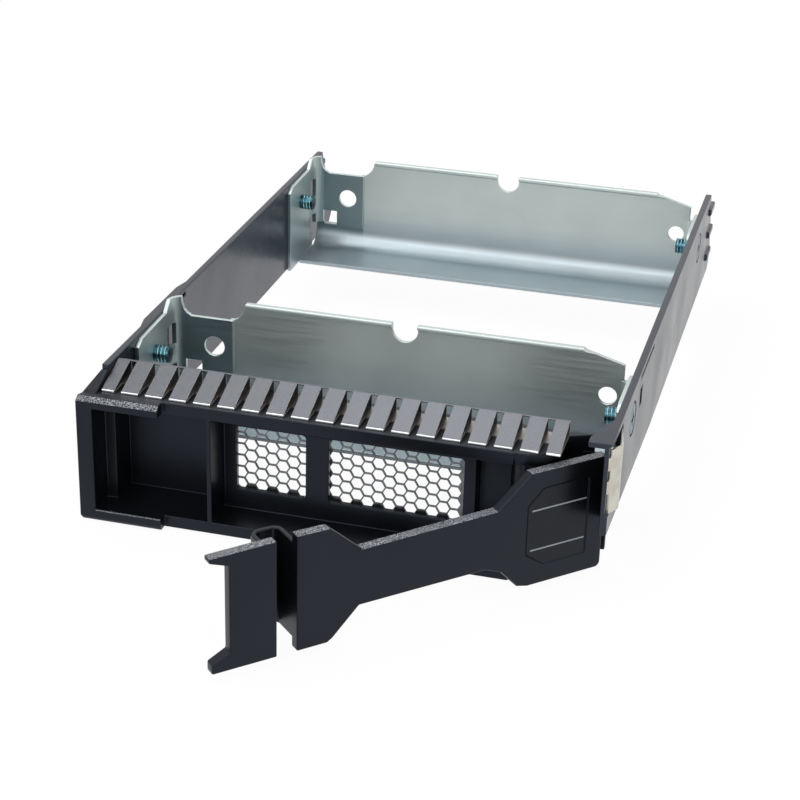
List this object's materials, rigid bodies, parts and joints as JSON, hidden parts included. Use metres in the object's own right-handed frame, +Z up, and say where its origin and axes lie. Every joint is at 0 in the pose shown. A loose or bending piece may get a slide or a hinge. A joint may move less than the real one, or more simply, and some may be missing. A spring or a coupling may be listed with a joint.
{
  "type": "hard drive tray",
  "caption": "Sliding 3.5-inch hard drive tray with black side rails, folded steel cross-braces, vented bezel, spring finger strip and a swing-out release lever.",
  "frame": {"origin": "centre of the bezel's underside, on the plane midway between the side rails", "axes": "+X to the right seen from the front, +Y into the tray's depth, +Z up as the tray lies in the picture"},
  "size_m": [0.1091, 0.2108, 0.0339],
  "materials": {
    "black_moulding": "satin black ABS blend with spark-eroded strips",
    "zinc_sheet": "electro-galvanised sheet, grey-green sheen",
    "blue_zinc_screw": "blue-passivated zinc",
    "spring_steel": "rolled stainless spring strip, satin",
    "screen_steel": "bright plated perforated sheet",
    "nickel_clip": "nickel-plated spring strip, warm white",
    "pin_steel": "ground steel",
    "label_film": "matt dark grey film, bare"
  },
  "bodies": {
    "tray": {"front_bezel": "black_moulding", "left_rail": "black_moulding", "right_rail": "black_moulding", "front_cross_member": "zinc_sheet", "rear_cross_member": "zinc_sheet", "drive_screws": "blue_zinc_screw", "lever_pivot_pin": "pin_steel", "gasket_finger_strip": "spring_steel", "vent_screen": "screen_steel", "ground_clip": "nickel_clip"},
    "lever": {"release_lever": "black_moulding", "lever_label": "label_film"}
  },
  "joints": [
    {"name": "lever_swing", "type": "hinge", "parent": "tray", "child": "lever", "pos_m": [0.0353, 0.0021, 0.01405], "axis": [0, 0, 1], "range_deg": [-45.25, 0]}
  ]
}
